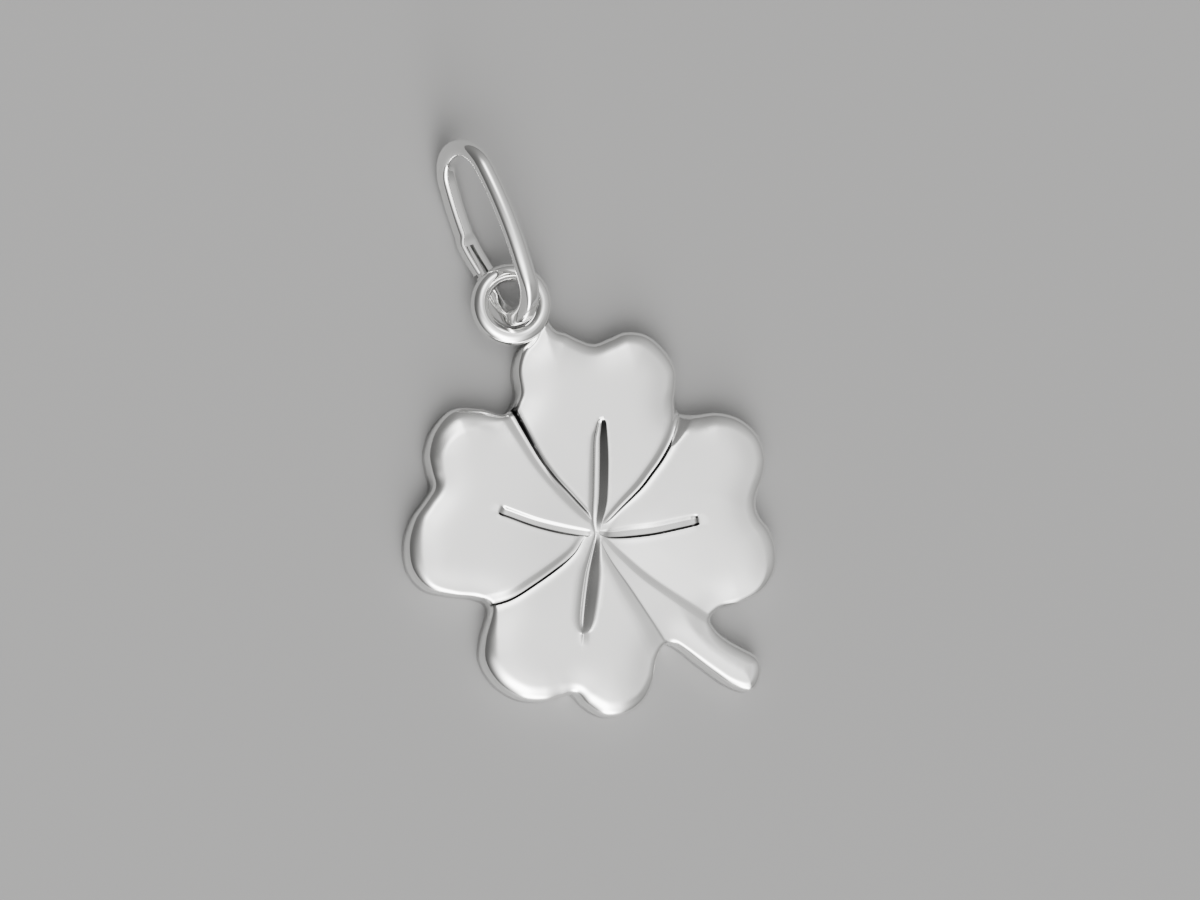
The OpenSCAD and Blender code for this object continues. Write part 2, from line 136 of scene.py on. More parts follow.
GROOVES = (
    Groove(
        "valley_top_left", LineKind.VALLEY,
        ((.44, 0), (.38, .006), (.32, .020), (.24, .046), (.18, .064), (.14, .070), (.09, .067),
         (.03, .056), (.00, .048), (-.09, .010), (-.16, .005), (-.22, .002), (-.28, 0)),
        TOP_LEFT_SHADE,
        ((0.10, 0.40, .5, .2, 0), (-0.12, 0.94, .8, .8, .80), (-0.48, 1.75, .9, 1.0, .86),
         (-0.85, 2.62, .95, 1.0, .98), (-1.13, 3.54, 1.05, 1.1, .99), (-1.31, 4.55, 1.2, 1.2, 1),
         (-1.45, 5.55, 1.35, 1.4, 1), (-1.50, 5.95, 1.45, 1.5, 1))),
    Groove(
        "hollow_top_left", LineKind.VALLEY,
        ((.44, 0), (.38, .006), (.32, .020), (.24, .046), (.18, .066), (.12, .086), (.07, .103),
         (.04, .108), (-.02, .072), (-.09, .014), (-.16, .007), (-.22, .003), (-.28, 0)),
        TOP_LEFT_SHADE,
        ((0.10, 0.40, .5, .2, 0), (-0.12, 0.94, .8, .8, .80), (-0.48, 1.75, .95, .98, .87),
         (-0.85, 2.62, .95, .8, .98), (-1.13, 3.54, 1.05, .4, .99), (-1.22, 4.05, 1.1, .1, 1))),
    Groove(
        "valley_top_right", LineKind.VALLEY,
        ((.42, 0), (.34, .007), (.26, .028), (.19, .062), (.14, .082), (.10, .088), (.04, .082),
         (.01, .072), (-.04, .036), (-.08, .024), (-.18, .007), (-.30, 0)),
        ((.045, -.055, 1),),
        ((0.40, 0.18, .5, .08, .0), (0.73, 0.30, .7, .6, .4), (1.41, 0.61, .9, .9, .75),
         (2.34, 1.03, 1.0, 1.2, .95), (2.98, 1.42, 1.0, 1.3, .97), (3.64, 1.86, 1.05, 1.4, .97),
         (4.31, 2.44, 1.1, 1.5, .85), (4.94, 3.17, 1.2, 1.6, .3), (5.25, 3.48, 1.3, 1.7, .1))),
    Groove(
        "notch_top_right", LineKind.VALLEY,
        ((.10, 0), (.03, .10), (-.02, .13), (-.15, .076), (-.28, .022), (-.34, .007), (-.42, 0)),
        ((.02, -.28, 1),),
        ((3.85, 2.02, .2, .0, 0), (4.20, 2.32, .6, .62, .1), (4.66, 2.83, 1.25, 1.3, .1),
         (5.00, 3.24, 1.7, 1.7, .1), (5.35, 3.62, 2.0, 1.9, .1))),
    Groove(
        "valley_bottom_left", LineKind.VALLEY,
        ((.30, 0), (.18, .007), (.08, .022), (.03, .034), (-.02, .074), (-.05, .084), (-.10, .084),
         (-.18, .068), (-.26, .040), (-.36, .010), (-.44, 0)),
        ((.045, -.06, 1),),
        ((-0.35, 0.03, .5, .15, 0), (-0.62, -0.11, .7, .35, 0), (-1.11, -0.48, .85, .7, .2),
         (-1.86, -0.79, .95, 1.0, .93), (-3.11, -1.13, 1.0, 1.1, .97), (-4.24, -1.35, 1.0, 1.2, .98),
         (-5.31, -1.28, 1.1, 1.4, .95), (-5.65, -1.24, 1.1, 1.5, .9))),
    # The two folds' drops are multiplied, the first in mm and the second as a share of it, so the stem
    # lies lower than both leaves.
    Groove(
        "fold_stem_right", LineKind.FOLD,
        ((4.0, 0), (2.6, .045), (1.4, .115), (.6, .180), (.1, .226), (.03, .230), (-.05, .212),
         (-.16, .177), (-.28, .146), (-.34, .140), (-.42, .139)),
        (),
        ((0.22, -0.22, .4, 0, 0), (0.37, -0.46, .5, .25, 0), (0.75, -1.13, .8, .7, 0),
         (1.39, -2.21, 1.0, 1.0, 0), (2.31, -3.48, 1.1, 1.0, 0), (3.26, -4.70, 1.1, 1.1, 0),
         (3.45, -4.95, 1.1, 1.1, 0))),
    Groove(
        "fold_stem_left", LineKind.FOLD,
        ((.12, 1), (.04, 1), (.0, .95), (-.05, .70), (-.09, .58), (-.18, .45), (-.30, .28), (-.42, .15),
         (-.55, .06), (-.75, 0)),
        (),
        ((0.05, -0.12, .3, 1, 0), (0.08, -0.55, .4, 1, 0), (0.13, -0.91, .5, 1, 0), (0.26, -1.50, .6, 1, 0),
         (0.56, -2.56, .9, 1.0, 0), (0.84, -3.68, 1.0, 1.0, 0), (1.12, -4.79, 1.2, 1.0, 0),
         (1.25, -5.30, 1.3, 1.0, 0))),
    Groove(
        "slope_left", LineKind.SLOPE,
        ((.38, 0), (.28, .003), (.18, .010), (.08, .017), (-.02, .020), (-.12, .016), (-.22, .007),
         (-.32, .001), (-.38, 0)),
        (),
        ((-5.20, 5.00, 1, 0, 0), (-4.85, 5.35, 1, .6, 0), (-4.35, 5.68, 1, 1, 0), (-3.76, 5.85, 1, 1, 0),
         (-3.15, 5.80, 1, 1, 0), (-2.57, 5.55, 1, .6, 0), (-2.20, 5.30, 1, 0, 0))),
    Groove(
        "vein_top", LineKind.VEIN,
        ((.54, 0), (.46, .008), (.38, .036), (.30, .080), (.24, .122), (.20, .136), (.14, .131),
         (.07, .120), (.03, .108), (-.30, .010), (-.36, 0)),
        ((.035, -.30, 1),),
        ((0.03, -0.04, .3, .12, 0), (0.10, 0.14, .45, .35, .4), (0.22, 0.42, .7, .7, .72),
         (0.45, 0.85, .9, 1.0, .75), (0.69, 1.34, 1.0, 1.1, .79), (1.17, 2.53, 1.0, 1.2, .84),
         (1.50, 3.40, .88, 1.15, .86), (1.66, 3.74, .68, 1.1, .87), (1.79, 4.02, .5, 1.0, .93),
         (1.83, 4.12, .38, .7, .95), (1.85, 4.18, .25, 0, .8))),
    Groove(
        "vein_right", LineKind.VEIN,
        (*RIGHT_VEIN, (-.23, -.011), (-.30, -.007), (-.42, 0)),
        ((-.09, -.22, 1), (.14, -.09, .44)),
        ((0.05, -0.02, .3, 0, 0), (0.24, -0.14, .5, .3, .1), (0.55, -0.30, .75, .8, .8),
         (1.34, -0.51, 1.0, 1.0, .97), (2.31, -0.73, 1.0, 1.0, .98), (3.30, -0.87, 1.0, .95, .98),
         (3.93, -0.95, .95, .9, .98), (4.10, -0.985, .9, .1, .9), (4.14, -0.99, .8, 0, .2))),
    Groove(
        "end_right", LineKind.VEIN,
        (*RIGHT_VEIN, (-.23, -.008), (-.30, -.004), (-.42, 0)),
        ((.26, .13, .9), (.13, -.07, .55), (-.07, -.21, 1.1)),
        ((3.45, -0.885, .97, .90, .2), (3.75, -0.925, .96, .95, .55), (3.97, -0.958, .95, .92, .85),
         (4.06, -0.975, .93, .7, 1.2), (4.15, -0.992, .9, .15, 1.2), (4.20, -1.00, .8, 0, 0))),
    Groove(
        "vein_left", LineKind.VEIN,
        ((.40, 0), (.30, -.004), (.24, -.004), (.205, .004), (.145, .058), (.12, .071), (.03, .076),
         (-.06, .077), (-.10, .074), (-.14, .046), (-.18, .012), (-.23, .002), (-.32, 0)),
        ((.23, .115, .96), (.115, -.09, .28), (-.09, -.2, .25)),
        ((-0.20, 0.05, .6, .05, .0), (-0.45, 0.14, .85, .6, .5), (-1.32, 0.62, 1.0, 1.0, .93),
         (-2.22, 1.21, 1.0, 1.1, .97), (-3.10, 1.92, 1.0, 1.2, .97), (-3.27, 2.06, 1.05, 1.2, 1.1),
         (-3.38, 2.16, 1.0, .3, 1.3), (-3.42, 2.20, .9, -.1, .2), (-3.50, 2.27, .7, 0, 0))),
    Groove(
        "vein_bottom", LineKind.VEIN,
        ((.52, 0), (.45, .009), (.37, .032), (.30, .065), (.16, .140), (.04, .212), (-.04, .262),
         (-.08, .276), (-.14, .272), (-.17, .250), (-.205, .155), (-.26, .107), (-.33, .062),
         (-.41, .028), (-.50, .009), (-.60, 0)),
        ((.33, -.05, 1),),
        ((0.02, 0.04, .2, .08, 0), (-0.03, -0.15, .3, .2, 0), (-0.16, -0.43, .45, .45, .1),
         (-0.50, -1.00, .7, .7, .15), (-0.81, -1.54, .95, .9, .1), (-1.22, -2.30, 1.0, 1.0, .1),
         (-1.62, -3.05, .95, .85, .1), (-1.80, -3.40, .75, .6, .05), (-1.88, -3.56, .6, .1, 0),
         (-1.92, -3.66, .5, -.13, 0), (-1.99, -3.83, .5, -.11, 0), (-2.12, -4.12, .5, 0, 0))),
)


def polar(direction: float, share: float) -> Pair:
    """Turns a direction in degrees and a share of the leaf's reach into a point in mm.

    Args:
        direction: Degrees anticlockwise from +X.
        share: Share of the leaf's reach.

    Returns:
        The point in mm.
    """
    a = math.radians(direction)
    return (LEAF_REACH * share * math.cos(a), LEAF_REACH * share * math.sin(a))


def smooth_line(points: np.ndarray, closed: bool, per_span: int = LINE_SAMPLES) -> np.ndarray:
    """Runs a Catmull-Rom curve through rows of numbers.

    Args:
        points: One row for each control point; columns past x and y are carried along.
        closed: Whether the last point joins the first.
        per_span: Samples for each span.

    Returns:
        The sampled rows.
    """
    if closed:
        around = np.vstack([points[-1:], points, points[:2]])
    else:
        around = np.vstack([2 * points[:1] - points[1:2], points, 2 * points[-1:] - points[-2:-1]])
    t = np.linspace(0, 1, per_span, endpoint=False)[:, None]
    out = []
    for i in range(len(around) - 3):
        a, b, c, d = around[i:i + 4]
        out.append(b + (c - a) * t / 2 + (a - 2.5 * b + 2 * c - d / 2) * t ** 2
                   + (1.5 * b - a / 2 - 1.5 * c + d / 2) * t ** 3)
    if not closed:
        out.append(points[-1:])
    return np.vstack(out)


def even_steps(line: np.ndarray, step: float, closed: bool) -> np.ndarray:
    """Resamples rows at even distances measured along x and y.

    Args:
        line: Rows whose first two columns are x and y.
        step: Distance between samples in mm.
        closed: Whether the line is a loop.

    Returns:
        The rows at even distances.
    """
    rows = np.vstack([line, line[:1]]) if closed else line
    run = np.concatenate([[0], np.cumsum(np.hypot(*np.diff(rows[:, :2], axis=0).T))])
    count = max(2, int(round(run[-1] / step)))
    at = np.linspace(0, run[-1], count, endpoint=not closed)
    return np.column_stack([np.interp(at, run, rows[:, k]) for k in range(rows.shape[1])])


def nearest(line: np.ndarray, points: np.ndarray, closed: bool) -> tuple[np.ndarray, np.ndarray]:
    """Finds each point's signed distance to a line and its place along it.

    Args:
        line: Rows whose first two columns are x and y in mm.
        points: Rows of x and y in mm.
        closed: Whether the line is a loop.

    Returns:
        Signed distances, positive to the line's left, and places as row index plus a fraction.
    """
    x, y = points[:, 0], points[:, 1]
    best = np.full(x.shape, np.inf)
    sign = np.ones(x.shape)
    where = np.zeros(x.shape)
    spans = len(line) if closed else len(line) - 1
    for i in range(spans):
        p, q = line[i, :2], line[(i + 1) % len(line), :2]
        e = q - p
        size = max(TINY, float(e @ e))
        t = np.clip(((x - p[0]) * e[0] + (y - p[1]) * e[1]) / size, 0, 1)
        dx, dy = x - p[0] - t * e[0], y - p[1] - t * e[1]
        d = np.hypot(dx, dy)
        closer = d < best
        best = np.where(closer, d, best)
        sign = np.where(closer, np.sign(e[0] * dy - e[1] * dx), sign)
        where = np.where(closer, i + t, where)
    return best * np.where(sign == 0, 1, sign), where


def left_of(run: np.ndarray) -> np.ndarray:
    """Turns rows of travel into unit steps to their left."""
    unit = run / np.hypot(*run.T)[:, None]
    return np.column_stack([-unit[:, 1], unit[:, 0]])


def ease(t: float | np.ndarray) -> float | np.ndarray:
    """Eases from 0 to 1 as t goes from 0 to 1."""
    c = np.clip(t, 0, 1)
    return c * c * (3 - 2 * c)


def select_none() -> None:
    """Leaves object mode clean, with nothing selected."""
    if bpy.context.object and bpy.context.object.mode != "OBJECT":
        bpy.ops.object.mode_set(mode="OBJECT")
    bpy.ops.object.select_all(action="DESELECT")


def make_active(piece: bpy.types.Object) -> None:
    """Selects one object alone and makes it active.

    Args:
        piece: The object.
    """
    select_none()
    piece.select_set(True)
    bpy.context.view_layer.objects.active = piece


def math_node(tree: bpy.types.NodeTree, how: str, first: Feed, second: Feed) -> bpy.types.NodeSocket:
    """Adds a Math node that joins two numbers.

    Args:
        tree: The tree that the node goes in.
        how: The node's operation.
        first: A number, or the socket that gives it.
        second: Another.

    Returns:
        The socket that gives the result.
    """
    node = tree.nodes.new("ShaderNodeMath")
    node.operation = how
    for socket, value in zip(node.inputs, (first, second)):
        if isinstance(value, bpy.types.NodeSocket):
            tree.links.new(value, socket)
        else:
            socket.default_value = value
    return node.outputs[0]


@dataclass(frozen=True)
class SilverFinish:
    """Polished sterling silver that has been worn a little.

    A mesh attribute darkens it with painted shade, which stands in for the shade and dark reflections in
    the grooves. A cloudy noise varies its roughness, and a noise that is drawn out into hairlines gives it
    scratches. Both run on Object coordinates, in metres.
    """

    name: str = "silver"
    color: Triple = (0.93, 0.93, 0.92)
    # The colour that the painted shade darkens the silver towards.
    painted_shade_color: Triple = (0.006, 0.006, 0.006)
    roughness: float = 0.14
    rough_shares: Pair = (0.8, 1.25)
    cloud_scale: float = 420.0
    cloud_detail: float = 3.0
    cloud_range: Pair = (0.3, 0.7)
    scratch: float = 0.015
    scratch_depth: float = 0.00002
    hair_scale: Triple = (9000, 900, 2000)
    hair_turn: float = 0.6
    hair_detail: float = 2.0

    @cache
    def material(self) -> bpy.types.Material:
        """Builds the finish's node material, once for all pieces that have it.

        Returns:
            The material.
        """
        mat = bpy.data.materials.new(self.name)
        mat.use_nodes = True
        tree = mat.node_tree
        tree.nodes.clear()
        out = tree.nodes.new("ShaderNodeOutputMaterial")
        shader = tree.nodes.new("ShaderNodeBsdfPrincipled")
        shader.inputs["Metallic"].default_value = 1.0
        tree.links.new(shader.outputs["BSDF"], out.inputs["Surface"])
        place = tree.nodes.new("ShaderNodeTexCoord").outputs["Object"]
        self.paint_shade(tree, shader)
        self.cloud(tree, shader, place)
        self.scratches(tree, shader, place)
        return mat

    def paint_shade(self, tree: bpy.types.NodeTree, shader: bpy.types.Node) -> None:
        """Paints shade into the silver, darkening it in the grooves by the mesh's painted shade attribute.

        Args:
            tree: The material's nodes.
            shader: Its Principled node.
        """
        # Reads the painted shade from the mesh.
        painted_shade = tree.nodes.new("ShaderNodeAttribute")
        painted_shade.attribute_name = PAINTED_SHADE
        mix = tree.nodes.new("ShaderNodeMix")
        mix.data_type = "RGBA"
        mix.inputs["A"].default_value = (*self.color, 1)
        mix.inputs["B"].default_value = (*self.painted_shade_color, 1)
        tree.links.new(painted_shade.outputs["Fac"], mix.inputs["Factor"])
        tree.links.new(mix.outputs["Result"], shader.inputs["Base Color"])

    def cloud(self, tree: bpy.types.NodeTree, shader: bpy.types.Node, place: bpy.types.NodeSocket) -> None:
        """Varies the roughness a little from place to place.

        Args:
            tree: The material's nodes.
            shader: Its Principled node.
            place: The coordinates.
        """
        noise = tree.nodes.new("ShaderNodeTexNoise")
        noise.inputs["Scale"].default_value = self.cloud_scale
        noise.inputs["Detail"].default_value = self.cloud_detail
        tree.links.new(place, noise.inputs["Vector"])
        rough = tree.nodes.new("ShaderNodeMapRange")
        rough.inputs["From Min"].default_value = self.cloud_range[0]
        rough.inputs["From Max"].default_value = self.cloud_range[1]
        rough.inputs["To Min"].default_value = self.roughness * self.rough_shares[0]
        rough.inputs["To Max"].default_value = self.roughness * self.rough_shares[1]
        tree.links.new(noise.outputs["Fac"], rough.inputs["Value"])
        tree.links.new(rough.outputs["Result"], shader.inputs["Roughness"])

    def scratches(self, tree: bpy.types.NodeTree, shader: bpy.types.Node,
                  place: bpy.types.NodeSocket) -> None:
        """Lays fine hairlines over the silver.

        Args:
            tree: The material's nodes.
            shader: Its Principled node.
            place: The coordinates.
        """
        hair = tree.nodes.new("ShaderNodeMapping")
        hair.inputs["Rotation"].default_value = (0, 0, self.hair_turn)
        hair.inputs["Scale"].default_value = self.hair_scale
        tree.links.new(place, hair.inputs["Vector"])
        noise = tree.nodes.new("ShaderNodeTexNoise")
        noise.inputs["Scale"].default_value = 1.0
        noise.inputs["Detail"].default_value = self.hair_detail
        tree.links.new(hair.outputs["Vector"], noise.inputs["Vector"])
        bump = tree.nodes.new("ShaderNodeBump")
        bump.inputs["Strength"].default_value = self.scratch
        bump.inputs["Distance"].default_value = self.scratch_depth
        tree.links.new(noise.outputs["Fac"], bump.inputs["Height"])
        tree.links.new(bump.outputs["Normal"], shader.inputs["Normal"])


CAST_SILVER = SilverFinish()
WIRE_SILVER = SilverFinish(name="silver_wire", roughness=0.05, scratch=0.008)


def hand_over(piece: bpy.types.Object, finish: SilverFinish, angle: float, nodes: tuple[str, ...]) -> None:
    """Smooths a piece, gives it its finish and its body, and hides the CAD nodes that it stands for.

    Args:
        piece: The finished piece.
        finish: Its silver.
        angle: Edges that turn by more than this, in degrees, stay sharp.
        nodes: The CAD nodes that it stands for.
    """
    make_active(piece)
    bpy.ops.object.shade_smooth_by_angle(angle=math.radians(angle))
    piece.data.materials.clear()
    piece.data.materials.append(finish.material())
    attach(piece, "root")
    if nodes:
        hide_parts(*nodes)


@dataclass
class Skin:
    """The plate's face while it grows towards the edge: points in mm, their painted shade and the faces."""

    points: list[np.ndarray]
    painted_darkness: list[np.ndarray]
    faces: list[tuple[int, ...]]
    border: list[int]


@dataclass
class CloverPlate:
    """The cast leaves and stem: an upright rim, a rounded shoulder and a face with its grooves.

    Lengths are in mm. The face is one height field over the outline, and its silver is darkened with
    painted shade in the grooves' bands.
    """

    # The rim, the shoulder over it, the lobes' dome, the dip at the centre and the back's rounded edge.
    rim_h: float = 1.0
    shoulder_w: float = 0.62
    shoulder_h: float = 0.42
    dome_h: float = 0.10
    dome_w: float = 0.85
    dip_h: float = 0.08
    dip_r: float = 2.2
    back_round: float = 0.05
    # The softness of a painted shade band's borders, and the least share of its width that a section has.
    fade: float = 0.03
    least_share: float = 0.05
    # Steps along the edge and the grooves and between the points that fill the face, rounds that soften
    # the edge, degrees of the shoulder's arc from ring to ring, and how many rings are whole.
    edge_step: float = 0.06
    fill_step: float = 0.11
    edge_rounds: int = 3
    ring_turn: int = 6
    whole_rings: int = 7
    # Points of a section that are farther out than this have no row of their own.
    row_reach: float = 0.6
    # A ring's point may be this much nearer to the edge than its ring, and past that it is dropped.
    ring_slack: float = 0.004
    # Room kept free round a band's border, between the whole rings and the grooves' rows, and between
    # these and the filling points.
    border_room: float = 0.021
    rim_room: float = 0.02
    fill_room: float = 0.05
    smooth_angle: float = 70.0
    finish: SilverFinish = CAST_SILVER

    @cached_property
    def edge(self) -> np.ndarray:
        """Works out the plate's edge as an even loop, anticlockwise.

        Returns:
            Rows of x and y in mm and the rounding's share.
        """
        top, right, bottom, left = (
            [(*polar(direction, reach), share) for direction, reach, share in leaf]
            for leaf in (TOP_LEAF, RIGHT_LEAF, BOTTOM_LEAF, LEFT_LEAF))
        control = np.array([*top, *right, *STEM_EDGE, *bottom, *left])
        loop = even_steps(smooth_line(control, True), self.edge_step, True)[::-1]
        for _ in range(self.edge_rounds):
            loop = (np.roll(loop, 1, axis=0) + 2 * loop + np.roll(loop, -1, axis=0)) / 4
        return loop

    @cached_property
    def lines(self) -> list[tuple[Groove, np.ndarray]]:
        """Works out every groove's smooth line.

        Returns:
            Pairs of groove and rows like its own, at even steps.
        """
        smooth = [smooth_line(np.array(groove.rows), False) for groove in GROOVES]
        return [(groove, even_steps(line, self.edge_step, False)) for groove, line in zip(GROOVES, smooth)]

    @cached_property
    def insets(self) -> list[float]:
        """The rings' distances in from the edge in mm, by even turns of the shoulder's arc."""
        turns = range(0, 90 + 1, self.ring_turn)
        return [self.shoulder_w * (1 - math.cos(math.radians(turn))) for turn in turns]

    def ring(self, inset: float) -> np.ndarray:
        """Moves the edge inwards.

        Args:
            inset: How far in mm.

        Returns:
            Rows of x and y in mm.
        """
        loop = self.edge[:, :2]
        return loop + left_of(np.roll(loop, -1, axis=0) - np.roll(loop, 1, axis=0)) * inset

    def plain_height(self, points: np.ndarray, inset: np.ndarray, share: np.ndarray) -> np.ndarray:
        """Gives the height of the face without its grooves and steps.

        Args:
            points: Rows of x and y in mm.
            inset: The points' distances in from the edge in mm.
            share: The rounding's share at each point.

        Returns:
            Heights in mm.
        """
        t = np.clip(inset / (self.shoulder_w * share), 0, 1)
        fall = self.shoulder_h * np.sqrt(share)
        z = self.rim_h + self.shoulder_h - fall * (1 - np.sqrt(1 - (1 - t) ** 2))
        z = z + self.dome_h * (1 - np.exp(-(inset / self.dome_w) ** 2))
        return z - self.dip_h * np.exp(-(np.hypot(*points.T) / self.dip_r) ** 2)

    def groove_at(self, groove: Groove, line: np.ndarray,
                  points: np.ndarray) -> tuple[np.ndarray, np.ndarray]:
        """Gives one groove's drop and painted shade.

        Args:
            groove: The groove.
            line: Its smooth line.
            points: Rows of x and y in mm.

        Returns:
            Drops and painted shade at the points.
        """
        distance, at = nearest(line, points, False)
        wide, deep, shade = (np.interp(at, np.arange(len(line)), line[:, k]) for k in (2, 3, 4))
        across = distance / np.maximum(wide, self.least_share)
        curve = smooth_line(np.array(groove.section)[::-1], False, SECTION_SAMPLES)
        drop = deep * np.interp(across, curve[:, 0], curve[:, 1])
        shaded = np.zeros_like(drop)
        for high, low, part in groove.shade_bands:
            inside = ease((across - low) / self.fade + 0.5) * ease((high - across) / self.fade + 0.5)
            shaded = np.maximum(shaded, part * inside)
        return drop, shade * shaded

    def height(self, points: np.ndarray, inset: np.ndarray,
               share: np.ndarray) -> tuple[np.ndarray, np.ndarray]:
        """Gives the face's height and the painted shade that darkens its silver.

        Args:
            points: Rows of x and y in mm.
            inset: The points' distances in from the edge in mm.
            share: The rounding's share at each point.

        Returns:
            Heights in mm, and painted shade from 0 to 1.
        """
        z = self.plain_height(points, inset, share)
        cut, painted_dark, step = np.zeros_like(z), np.zeros_like(z), np.ones_like(z)
        for groove, line in self.lines:
            drop, shade = self.groove_at(groove, line, points)
            if groove.kind is LineKind.FOLD:
                step = step * drop
                continue
            deepest = drop > np.maximum(cut, 0)
            lip = np.where(cut <= 0, np.minimum(cut, drop), cut)
            cut = np.where(drop > 0, np.maximum(cut, drop), lip)
            painted_dark = np.where(deepest, shade, painted_dark)
        return z - step - cut, np.clip(painted_dark, 0, 1)

    def offsets(self, groove: Groove) -> np.ndarray:
        """Gives the distances from a groove's line at which the mesh has its rows.

        Args:
            groove: The groove.

        Returns:
            Distances in mm at the section's full width.
        """
        offsets = np.sort([distance for distance, _ in groove.section if abs(distance) < self.row_reach])
        offsets = np.concatenate([offsets, (offsets[1:] + offsets[:-1]) / 2])
        for border in sorted({side for band in groove.shade_bands for side in band[:2]}):
            offsets = offsets[np.abs(offsets - border) > self.border_room]
            offsets = np.concatenate([offsets, [border - self.fade / 2, border + self.fade / 2]])
        return offsets

    def shoulder_points(self) -> np.ndarray:
        """Gives the points of the inner rings, which end where the outline's corners make them cross.

        Returns:
            Rows of x and y in mm.
        """
        points = []
        for inset in self.insets[self.whole_rings:]:
            ring = self.ring(inset)
            keep = np.abs(nearest(self.edge, ring, True)[0]) > inset - self.ring_slack
            points.append(ring[keep])
        return np.vstack(points)

    def groove_points(self) -> np.ndarray:
        """Gives the points along the grooves.

        Returns:
            Rows of x and y in mm.
        """
        rows = []
        for groove, line in self.lines:
            side = left_of(np.gradient(line[:, :2], axis=0))
            for offset in self.offsets(groove):
                rows.append(line[:, :2] + side * (offset * line[:, 2])[:, None])
        points = np.vstack(rows)
        least = self.insets[self.whole_rings - 1] + self.rim_room
        return points[nearest(self.edge, points, True)[0] > least]

    def fill_points(self) -> np.ndarray:
        """Gives the points that fill the face between the shoulder and the grooves.

        Returns:
            Rows of x and y in mm.
        """
        low, high = self.edge.min(axis=0), self.edge.max(axis=0)
        x, y = np.meshgrid(*(np.arange(low[k], high[k], self.fill_step) for k in (0, 1)))
        x = x + (np.arange(len(x)) % 2)[:, None] * self.fill_step / 2
        points = np.column_stack([x.ravel(), y.ravel()])
        points = points[nearest(self.edge, points, True)[0] > self.shoulder_w + self.fill_room]
        clear = np.ones(len(points), bool)
        for groove, line in self.lines:
            distance, at = nearest(line, points, False)
            wide = np.interp(at, np.arange(len(line)), line[:, 2])
            rows = [offset for offset, _ in groove.section if abs(offset) < self.row_reach]
            above = distance > max(rows) * wide + self.fill_room
            below = distance < min(rows) * wide - self.fill_room
            clear &= above | below
        return points[clear]

    def face(self) -> Skin:
        """Builds the face inside the whole rings.

        Returns:
            The face, with the innermost whole ring as its border.
        """
        ring = self.ring(self.insets[self.whole_rings - 1])
        cloud = np.vstack([ring, self.shoulder_points(), self.groove_points(), self.fill_points()])
        verts, _, faces, *_ = delaunay_2d_cdt(
            [Vector(point) for point in cloud], [], [list(range(len(ring)))], KEEP_INSIDE, MERGE)
        flat = np.array([(v.x, v.y) for v in verts])
        inset, at = nearest(self.edge, flat, True)
        shares = np.append(self.edge[:, 2], self.edge[0, 2])
        z, painted_dark = self.height(flat, inset, np.interp(at, np.arange(len(shares)), shares))
        border = [int(np.argmin(np.hypot(*(flat - point).T))) for point in ring]
        return Skin([np.column_stack([flat, z])], [painted_dark], [tuple(face) for face in faces], border)

    def add_ring(self, skin: Skin, inset: float) -> None:
        """Joins the next ring towards the edge to the face.

        Args:
            skin: The face so far.
            inset: The ring's distance in from the edge in mm. The edge itself, at 0, gets no painted shade.
        """
        ring = self.ring(inset)
        count = len(ring)
        z, painted_dark = self.height(ring, np.full(count, inset), self.edge[:, 2])
        start = sum(len(part) for part in skin.points)
        outer = list(range(start, start + count))
        inner = skin.border
        after = [(i + 1) % count for i in range(count)]
        skin.faces += [(inner[i], outer[i], outer[j], inner[j]) for i, j in enumerate(after)]
        skin.points.append(np.column_stack([ring, z]))
        skin.painted_darkness.append(painted_dark if inset else np.zeros(count))
        skin.border = outer

    def build(self) -> bpy.types.Object:
        """Builds the plate as one closed mesh.

        Returns:
            The plate's object.
        """
        for groove, line in self.lines:
            log.info("%s, %s: %d steps", groove.name, groove.kind.value, len(line))
        skin = self.face()
        for inset in reversed(self.insets[:self.whole_rings - 1]):
            self.add_ring(skin, inset)
        mesh = bpy.data.meshes.new("clover_plate")
        mesh.from_pydata((np.vstack(skin.points) * MM).tolist(), [], skin.faces)
        # The painted shade goes on the mesh as an attribute, for the silver to darken by.
        layer = mesh.attributes.new(PAINTED_SHADE, "FLOAT", "POINT")
        layer.data.foreach_set("value", np.concatenate(skin.painted_darkness).astype(np.float32))
        plate = bpy.data.objects.new("clover_plate", mesh)
        bpy.context.scene.collection.objects.link(plate)
        self.close_back(plate)
        return plate

    def close_back(self, plate: bpy.types.Object) -> None:
        """Draws the rim down to the flat back, closes it and rounds its edge a little.

        Args:
            plate: The open face.
        """
        make_active(plate)
        bpy.ops.object.mode_set(mode="EDIT")
        bpy.ops.mesh.select_all(action="DESELECT")
        bpy.ops.mesh.select_mode(type="EDGE")
        bpy.ops.mesh.select_non_manifold()
        bpy.ops.mesh.extrude_region_move(TRANSFORM_OT_translate={"value": (0, 0, -self.rim_h * MM)})
        bpy.ops.transform.resize(value=(1, 1, 0), center_override=(0, 0, 0))
        bpy.ops.mesh.edge_face_add()
        bpy.ops.mesh.select_all(action="SELECT")
        bpy.ops.mesh.normals_make_consistent(inside=False)
        bpy.ops.mesh.select_all(action="DESELECT")
        bpy.ops.object.mode_set(mode="OBJECT")
        for e in plate.data.edges:
            e.select = all(plate.data.vertices[v].co.z < ON_FLOOR for v in e.vertices)
        bpy.ops.object.mode_set(mode="EDIT")
        bpy.ops.mesh.bevel(offset=self.back_round * MM, segments=2)
        bpy.ops.object.mode_set(mode="OBJECT")

    def dress(self, plate: bpy.types.Object) -> None:
        """Smooths the plate and gives it its silver."""
        hand_over(plate, self.finish, self.smooth_angle, ("clover",))


